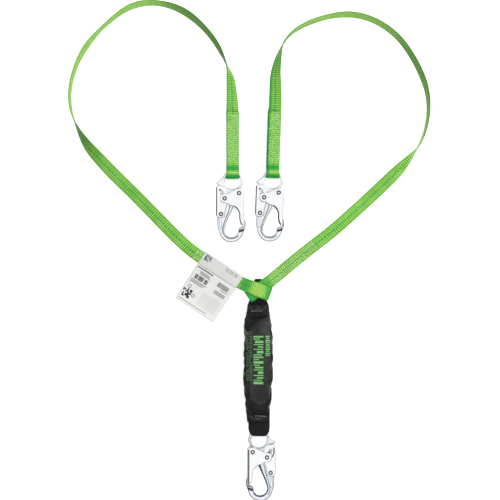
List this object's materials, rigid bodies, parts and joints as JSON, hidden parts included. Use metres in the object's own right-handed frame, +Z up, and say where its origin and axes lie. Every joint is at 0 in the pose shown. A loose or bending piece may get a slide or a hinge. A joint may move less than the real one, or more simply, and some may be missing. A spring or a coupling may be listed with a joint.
{
  "type": "shock absorbing lanyard",
  "caption": "Twin-leg webbing fall-arrest lanyard with self-locking snap hooks and a pack of folded tear webbing that absorbs a fall.",
  "frame": {"origin": "on the surface the lanyard lies on, under the middle of the hooks, absorber and label (the free webbing legs are left out of that middle)", "axes": "+X across, to the right seen from above with the absorber towards the viewer; +Y from the harness hook to the leg hooks; +Z up from the surface"},
  "size_m": [0.7441, 1.0282, 0.0345],
  "materials": {
    "hook_steel": "bright zinc-plated forged steel",
    "rivet_steel": "zinc-plated, machined",
    "spring_steel": "spring wire",
    "green_webbing": "woven polyester webbing, lime green with a darker tracer",
    "black_webbing": "woven polyester webbing, black",
    "black_cover": "coated nylon with a soft shine",
    "label_vinyl": "white printed vinyl"
  },
  "bodies": {
    "absorber_and_legs": {"left_leg_webbing": "green_webbing", "right_leg_webbing": "green_webbing", "absorber_top_loop": "black_webbing", "absorber_bottom_loop": "black_webbing", "absorber_cover": "black_cover", "absorber_tear_webbing": "black_webbing", "label_sleeve": "label_vinyl"},
    "left_hook_swivel": {"left_hook_body": "hook_steel", "left_hook_gate_pivot_rivet": "rivet_steel", "left_hook_lever_pivot_rivet": "rivet_steel"},
    "left_hook_gate_assembly": {"left_hook_gate": "hook_steel", "left_hook_lock_pin": "rivet_steel", "left_hook_gate_spring": "spring_steel"},
    "left_hook_lever_assembly": {"left_hook_lock_lever": "hook_steel", "left_hook_lever_spring": "spring_steel"},
    "right_hook_swivel": {"right_hook_body": "hook_steel", "right_hook_gate_pivot_rivet": "rivet_steel", "right_hook_lever_pivot_rivet": "rivet_steel"},
    "right_hook_gate_assembly": {"right_hook_gate": "hook_steel", "right_hook_lock_pin": "rivet_steel", "right_hook_gate_spring": "spring_steel"},
    "right_hook_lever_assembly": {"right_hook_lock_lever": "hook_steel", "right_hook_lever_spring": "spring_steel"},
    "harness_hook_swivel": {"harness_hook_body": "hook_steel", "harness_hook_gate_pivot_rivet": "rivet_steel", "harness_hook_lever_pivot_rivet": "rivet_steel"},
    "harness_hook_gate_assembly": {"harness_hook_gate": "hook_steel", "harness_hook_lock_pin": "rivet_steel", "harness_hook_gate_spring": "spring_steel"},
    "harness_hook_lever_assembly": {"harness_hook_lock_lever": "hook_steel", "harness_hook_lever_spring": "spring_steel"},
    "label": {"label_panel": "label_vinyl"}
  },
  "joints": [
    {"name": "left_hook_swing", "type": "hinge", "parent": "absorber_and_legs", "child": "left_hook_swivel", "pos_m": [0.0019, 0.3333, 0.01], "axis": [1, 0, 0], "range_deg": [-110, 110]},
    {"name": "left_hook_gate_hinge", "type": "hinge", "parent": "left_hook_swivel", "child": "left_hook_gate_assembly", "pos_m": [0.015, 0.2926, 0.01], "axis": [0, 0, -1], "range_deg": [0, 22], "stiffness_Nm_per_rad": 0.12, "springref_deg": -20.05, "deforming": ["left_hook_gate_spring"]},
    {"name": "left_hook_lever_hinge", "type": "hinge", "parent": "left_hook_swivel", "child": "left_hook_lever_assembly", "pos_m": [-0.0219, 0.2497, 0.01], "axis": [0, 0, -1], "range_deg": [0, 6.01], "stiffness_Nm_per_rad": 0.08, "springref_deg": -5.73, "deforming": ["left_hook_lever_spring"]},
    {"name": "right_hook_swing", "type": "hinge", "parent": "absorber_and_legs", "child": "right_hook_swivel", "pos_m": [0.08486, 0.33479, 0.01], "axis": [0.9994, -0.0349, 0], "range_deg": [-110, 110]},
    {"name": "right_hook_gate_hinge", "type": "hinge", "parent": "right_hook_swivel", "child": "right_hook_gate_assembly", "pos_m": [0.09653, 0.29366, 0.01], "axis": [0, 0, -1], "range_deg": [0, 22], "stiffness_Nm_per_rad": 0.12, "springref_deg": -20.05, "deforming": ["right_hook_gate_spring"]},
    {"name": "right_hook_lever_hinge", "type": "hinge", "parent": "right_hook_swivel", "child": "right_hook_lever_assembly", "pos_m": [0.05816, 0.25207, 0.01], "axis": [0, 0, -1], "range_deg": [0, 6.01], "stiffness_Nm_per_rad": 0.08, "springref_deg": -5.73, "deforming": ["right_hook_lever_spring"]},
    {"name": "harness_hook_swing", "type": "hinge", "parent": "absorber_and_legs", "child": "harness_hook_swivel", "pos_m": [0.0563, -0.1989, 0.01], "axis": [1, 0, 0], "range_deg": [-110, 110]},
    {"name": "harness_hook_gate_hinge", "type": "hinge", "parent": "harness_hook_swivel", "child": "harness_hook_gate_assembly", "pos_m": [0.0432, -0.2396, 0.01], "axis": [0, 0, 1], "range_deg": [0, 22], "stiffness_Nm_per_rad": 0.12, "springref_deg": -20.05, "deforming": ["harness_hook_gate_spring"]},
    {"name": "harness_hook_lever_hinge", "type": "hinge", "parent": "harness_hook_swivel", "child": "harness_hook_lever_assembly", "pos_m": [0.0801, -0.2825, 0.01], "axis": [0, 0, 1], "range_deg": [0, 6.01], "stiffness_Nm_per_rad": 0.08, "springref_deg": -5.73, "deforming": ["harness_hook_lever_spring"]},
    {"name": "label_fold", "type": "hinge", "parent": "absorber_and_legs", "child": "label", "pos_m": [-0.03155, 0.12155, 0.0142], "axis": [-0.8358, 0.549, 0], "range_deg": [0, 160]}
  ],
  "couplings": [
    {"joint": "left_hook_lever_hinge", "follows": "left_hook_gate_hinge", "ratio": 0.27273},
    {"joint": "right_hook_lever_hinge", "follows": "right_hook_gate_hinge", "ratio": 0.27273},
    {"joint": "harness_hook_lever_hinge", "follows": "harness_hook_gate_hinge", "ratio": 0.27273}
  ]
}
